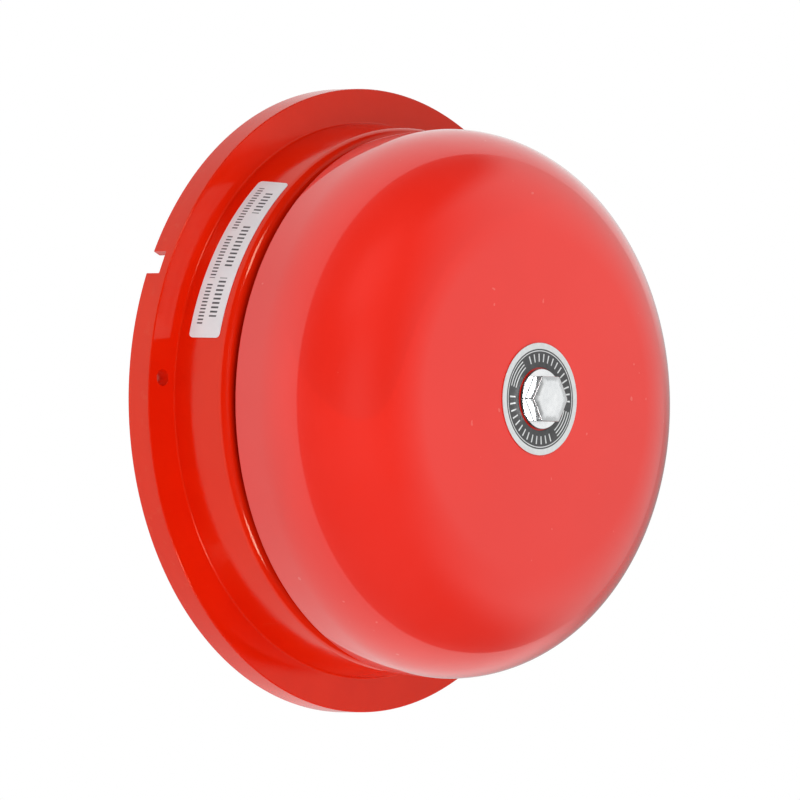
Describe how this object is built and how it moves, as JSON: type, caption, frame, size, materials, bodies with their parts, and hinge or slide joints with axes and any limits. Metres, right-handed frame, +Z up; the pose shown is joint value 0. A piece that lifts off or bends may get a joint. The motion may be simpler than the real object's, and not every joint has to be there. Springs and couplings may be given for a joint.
{
  "type": "fire alarm bell",
  "caption": "Round wall-mounted alarm bell: red domed steel gong on a flanged moulded base, with a solenoid striker inside and a hex bolt at the centre.",
  "frame": {"origin": "centre of the base's back plane, on the gong's axis, where the bell meets the wall", "axes": "+Z up, +Y into the wall, the gong faces -Y and +X is to the right of someone facing the bell"},
  "size_m": [0.174, 0.0749, 0.174],
  "materials": {
    "red_moulding": "glossy orange-red moulded plastic",
    "red_enamel": "glossy red enamel on pressed steel",
    "bright_zinc": "bright zinc plating",
    "plated_steel": "dull zinc-plated steel",
    "soft_iron": "oiled soft iron",
    "brass": "plain turned brass",
    "copper_wire": "enamelled copper wire",
    "nylon": "natural nylon",
    "black_moulding": "black moulded plastic",
    "rubber": "black rubber",
    "fibre": "vulcanised fibre",
    "coil_tape": "yellow polyester tape",
    "label_paper": "white satin sticker with grey bars in place of print",
    "printed_foil": "printed ring sticker, dark field with a silver edge and plain marks",
    "red_lead": "PVC wire insulation",
    "blue_lead": "PVC wire insulation"
  },
  "bodies": {
    "bell": {"base_shell": "red_moulding", "rating_label": "label_paper", "gong": "red_enamel", "gong_decal": "printed_foil", "gong_washer": "bright_zinc", "gong_bolt": "bright_zinc", "fibre_washer": "fibre", "gong_post": "plated_steel", "post_washer": "plated_steel", "post_nut": "plated_steel", "chassis_plate": "plated_steel", "chassis_screw_1": "bright_zinc", "chassis_screw_2": "bright_zinc", "chassis_screw_3": "bright_zinc", "solenoid_frame": "soft_iron", "frame_screw_left": "bright_zinc", "frame_screw_right": "bright_zinc", "coil_bobbin": "nylon", "coil_winding": "copper_wire", "coil_tape": "coil_tape", "pole_piece": "soft_iron", "guide_bush": "nylon", "coil_pin_live": "brass", "coil_pin_neutral": "brass", "return_spring": "bright_zinc", "backstop_bracket": "plated_steel", "backstop_screw": "bright_zinc", "rubber_buffer": "rubber", "terminal_block": "black_moulding", "terminal_sleeve_live": "brass", "terminal_sleeve_neutral": "brass", "terminal_screw_live": "brass", "terminal_screw_neutral": "brass", "terminal_block_screw": "bright_zinc", "lead_grommet": "rubber", "lead_diode": "red_lead", "lead_coil": "blue_lead", "lead_diode_to_coil": "red_lead", "rectifier_diode": "black_moulding"},
    "striker": {"plunger": "soft_iron", "plunger_clip": "bright_zinc", "striker_rod": "brass", "striker_tip": "nylon"}
  },
  "joints": [
    {"name": "striker_slide", "type": "slide", "parent": "bell", "child": "striker", "axis": [0, 0, -1], "range_m": [0, 0.004], "stiffness_N_per_m": 250, "springref_m": -0.003, "deforming": ["return_spring"]}
  ]
}
